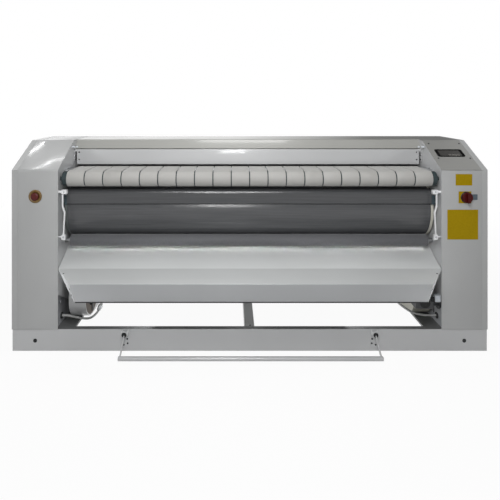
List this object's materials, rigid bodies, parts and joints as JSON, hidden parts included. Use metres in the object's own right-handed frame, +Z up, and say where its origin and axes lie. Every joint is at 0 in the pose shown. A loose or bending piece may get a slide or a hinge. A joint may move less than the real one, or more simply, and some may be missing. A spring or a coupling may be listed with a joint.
{
  "type": "flatwork ironer",
  "caption": "Drying ironer with a feed table of belts over a heated cylinder, an ironing band behind it, a return tray, two end columns and a foot pedal.",
  "frame": {"origin": "on the floor, under the middle of the object's footprint", "axes": "+X to the operator's right, +Y from the operator towards the back, +Z up"},
  "size_m": [2.58, 0.928, 1.13],
  "materials": {
    "paint": "smooth light grey powder coat",
    "frame_paint": "dark grey satin enamel",
    "polished_steel": "polished dark steel",
    "bright_steel": "zinc plated and turned steel",
    "cream_paint": "cream heat-resistant paint",
    "white_paint": "white enamel",
    "band_felt": "dense heat-resistant needle felt",
    "belt_cloth": "white woven feed belt",
    "roller_rubber": "dark teal roller lagging",
    "black_paint": "black motor enamel",
    "red_plastic": "moulded red plastic",
    "display_plastic": "dark tinted display window",
    "grey_plastic": "grey moulded plastic"
  },
  "bodies": {
    "root": {"base_front_fascia": "paint", "left_side_cover": "paint", "right_side_cover": "paint", "left_front_cover": "paint", "right_front_cover": "paint", "control_panel": "paint", "left_inner_cover": "paint", "right_inner_cover": "paint", "top_cover": "paint", "rear_cover": "paint", "return_tray": "paint", "left_tray_end": "paint", "right_tray_end": "paint", "left_guard_bracket": "paint", "right_guard_bracket": "paint", "left_pedal_bracket": "paint", "right_pedal_bracket": "paint", "left_fan_housing": "paint", "base_front_rail": "frame_paint", "base_rear_rail": "frame_paint", "base_center_beam": "frame_paint", "left_platform": "frame_paint", "right_platform": "frame_paint", "left_side_frame": "frame_paint", "right_side_frame": "frame_paint", "left_cylinder_bearing": "frame_paint", "right_cylinder_bearing": "frame_paint", "front_apron": "polished_steel", "left_front_foot": "bright_steel", "right_front_foot": "bright_steel", "left_rear_foot": "bright_steel", "right_rear_foot": "bright_steel", "feed_table": "bright_steel", "heating_elements": "bright_steel", "drive_chain": "bright_steel", "right_extraction_duct": "cream_paint", "left_stay_bracket": "white_paint", "right_stay_bracket": "white_paint", "ironing_band": "band_felt", "feed_belts": "belt_cloth", "drive_motor": "black_paint", "left_fan_motor": "black_paint", "display_window": "display_plastic", "electrical_panel": "grey_plastic", "cross_conduit": "grey_plastic"},
    "cylinder": {"ironing_cylinder": "polished_steel", "left_cylinder_head": "cream_paint", "right_cylinder_head": "cream_paint", "cylinder_sprocket": "bright_steel"},
    "feed_front": {"feed_front_roller": "roller_rubber"},
    "feed_rear": {"feed_rear_roller": "roller_rubber"},
    "exit": {"exit_roller": "bright_steel"},
    "band_top": {"band_top_roller": "bright_steel"},
    "band_rear": {"band_rear_roller": "bright_steel"},
    "motor_output": {"motor_sprocket": "bright_steel"},
    "guard": {"finger_guard": "paint"},
    "pedal": {"foot_pedal": "paint"},
    "stop_button": {"estop_button": "red_plastic"},
    "switch_knob": {"main_switch_knob": "red_plastic"},
    "fan_wheel": {"left_fan_impeller": "bright_steel"}
  },
  "joints": [
    {"name": "cylinder_spin", "type": "hinge", "parent": "root", "child": "cylinder", "pos_m": [0, 0.009, 0.745], "axis": [-1, 0, 0], "continuous": true},
    {"name": "feed_front_spin", "type": "hinge", "parent": "root", "child": "feed_front", "pos_m": [0, -0.19, 0.9365], "axis": [-1, 0, 0], "continuous": true},
    {"name": "feed_rear_spin", "type": "hinge", "parent": "root", "child": "feed_rear", "pos_m": [0, -0.014, 0.9532], "axis": [-1, 0, 0], "continuous": true},
    {"name": "exit_roller_spin", "type": "hinge", "parent": "root", "child": "exit", "pos_m": [0, -0.11139, 0.57306], "axis": [-1, 0, 0], "continuous": true},
    {"name": "band_top_spin", "type": "hinge", "parent": "root", "child": "band_top", "pos_m": [0, 0.11645, 0.93111], "axis": [-1, 0, 0], "continuous": true},
    {"name": "band_rear_spin", "type": "hinge", "parent": "root", "child": "band_rear", "pos_m": [0, 0.284, 0.57], "axis": [-1, 0, 0], "continuous": true},
    {"name": "motor_output_spin", "type": "hinge", "parent": "root", "child": "motor_output", "pos_m": [0, -0.174, 0.25], "axis": [-1, 0, 0], "continuous": true},
    {"name": "guard_swing", "type": "hinge", "parent": "root", "child": "guard", "pos_m": [0, 0.048, 1.068], "axis": [1, 0, 0], "range_deg": [0, 15], "stiffness_Nm_per_rad": 2, "springref_deg": -28.65},
    {"name": "pedal_press", "type": "hinge", "parent": "root", "child": "pedal", "pos_m": [0, -0.254, 0.11], "axis": [1, 0, 0], "range_deg": [0, 8], "stiffness_Nm_per_rad": 10, "springref_deg": -45.84},
    {"name": "stop_press", "type": "slide", "parent": "root", "child": "stop_button", "axis": [0, 1, 0], "range_m": [0, 0.005]},
    {"name": "switch_turn", "type": "hinge", "parent": "root", "child": "switch_knob", "pos_m": [1.174, -0.236, 0.842], "axis": [0, 1, 0], "range_deg": [0, 90]},
    {"name": "fan_spin", "type": "hinge", "parent": "root", "child": "fan_wheel", "pos_m": [-0.9565, -0.046, 0.256], "axis": [1, 0, 0], "continuous": true}
  ],
  "couplings": [
    {"joint": "feed_front_spin", "follows": "cylinder_spin", "ratio": 4.2373},
    {"joint": "feed_rear_spin", "follows": "cylinder_spin", "ratio": 7.1138},
    {"joint": "exit_roller_spin", "follows": "cylinder_spin", "ratio": -5.4784},
    {"joint": "band_top_spin", "follows": "cylinder_spin", "ratio": -4.746},
    {"joint": "band_rear_spin", "follows": "cylinder_spin", "ratio": -4.746},
    {"joint": "motor_output_spin", "follows": "cylinder_spin", "ratio": 3.1818}
  ]
}
